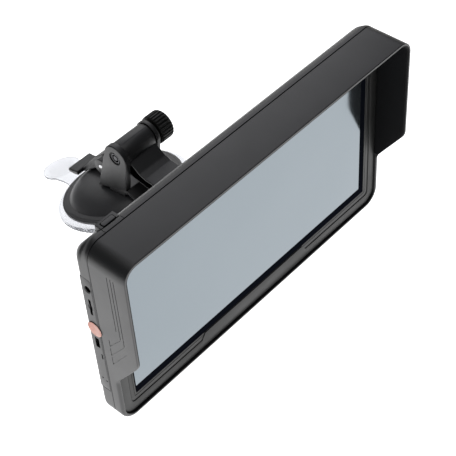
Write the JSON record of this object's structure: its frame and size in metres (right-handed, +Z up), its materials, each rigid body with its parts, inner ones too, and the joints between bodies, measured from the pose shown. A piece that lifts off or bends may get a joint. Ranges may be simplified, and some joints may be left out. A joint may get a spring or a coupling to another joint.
{
  "type": "vehicle monitor on a suction mount",
  "caption": "Flat vehicle monitor with a sunshade hood, on a tilting arm with a knurled knob and a lever-lock suction cup.",
  "frame": {"origin": "centre of the suction pad's face", "axes": "+X to the right of someone facing the screen, -Y the way the screen faces, +Z up; the cup's axis leans 17 degrees from +Z towards +Y"},
  "size_m": [0.2295, 0.2057, 0.1382],
  "materials": {
    "housing_black": "fine satin moulded plastic",
    "bezel_black": "satin moulded plastic",
    "mount_black": "semi-gloss moulded plastic",
    "knob_black": "knurled moulded plastic",
    "screen_glass": "glossy front pane with a black border",
    "screen_panel": "pale grey unlit display",
    "clear_pad": "clear soft PVC",
    "steel": "plain steel",
    "board": "green circuit board",
    "label": "plain salmon paper label"
  },
  "bodies": {
    "suction_base": {"suction_pad": "clear_pad", "cup_housing": "mount_black", "hinge_fork": "mount_black", "fork_screw_left": "steel", "fork_screw_right": "steel", "hinge_bolt": "steel", "return_spring": "steel"},
    "stem": {"pull_stem": "mount_black", "lever_pin": "steel"},
    "lever": {"lock_lever": "mount_black"},
    "washer": {"hinge_washer": "steel"},
    "knob": {"tilt_knob": "knob_black", "knob_nut": "steel"},
    "arm": {"tilt_arm": "mount_black", "slide_foot": "mount_black", "foot_screw_left": "steel", "foot_screw_right": "steel"},
    "button": {"power_button": "housing_black"},
    "monitor": {"front_housing": "housing_black", "bezel_panel": "bezel_black", "front_glass": "screen_glass", "display_panel": "screen_panel", "display_tray": "steel", "main_board": "board", "audio_jack": "mount_black", "card_slot": "steel", "usb_socket": "steel", "usb_tongue": "mount_black", "loudspeaker": "mount_black", "back_shell": "housing_black", "port_strip": "housing_black", "round_label": "label", "slide_rail": "housing_black", "housing_screw_left_low": "steel", "rail_screw_left_low": "steel", "housing_screw_left_high": "steel", "rail_screw_left_high": "steel", "housing_screw_right_low": "steel", "rail_screw_right_low": "steel", "housing_screw_right_high": "steel", "rail_screw_right_high": "steel"}
  },
  "joints": [
    {"name": "arm_tilt", "type": "hinge", "parent": "suction_base", "child": "arm", "pos_m": [0, -0.0141, 0.0474], "axis": [1, 0, 0], "range_deg": [-75, 4]},
    {"name": "monitor_lift", "type": "slide", "parent": "arm", "child": "monitor", "axis": [0, 0, 1], "range_m": [0, 0.032]},
    {"name": "button_press", "type": "slide", "parent": "monitor", "child": "button", "axis": [0, 0, -1], "range_m": [0, 0.0008], "stiffness_N_per_m": 1200},
    {"name": "lever_open", "type": "hinge", "parent": "stem", "child": "lever", "pos_m": [0, 0.00731, 0.02391], "axis": [1, 0, 0], "range_deg": [0, 95]},
    {"name": "stem_drop", "type": "slide", "parent": "suction_base", "child": "stem", "axis": [0, 0.2924, 0.9563], "range_m": [-0.00201, 0]},
    {"name": "knob_turn", "type": "hinge", "parent": "washer", "child": "knob", "pos_m": [0, -0.0141, 0.0474], "axis": [1, 0, 0], "range_deg": [0, 720]},
    {"name": "knob_advance", "type": "slide", "parent": "suction_base", "child": "washer", "axis": [1, 0, 0], "range_m": [0, 0.00141]}
  ],
  "couplings": [
    {"joint": "stem_drop", "follows": "lever_open", "m_per_rad": -0.0012062},
    {"joint": "knob_advance", "follows": "knob_turn", "m_per_rad": 0.00011141}
  ]
}
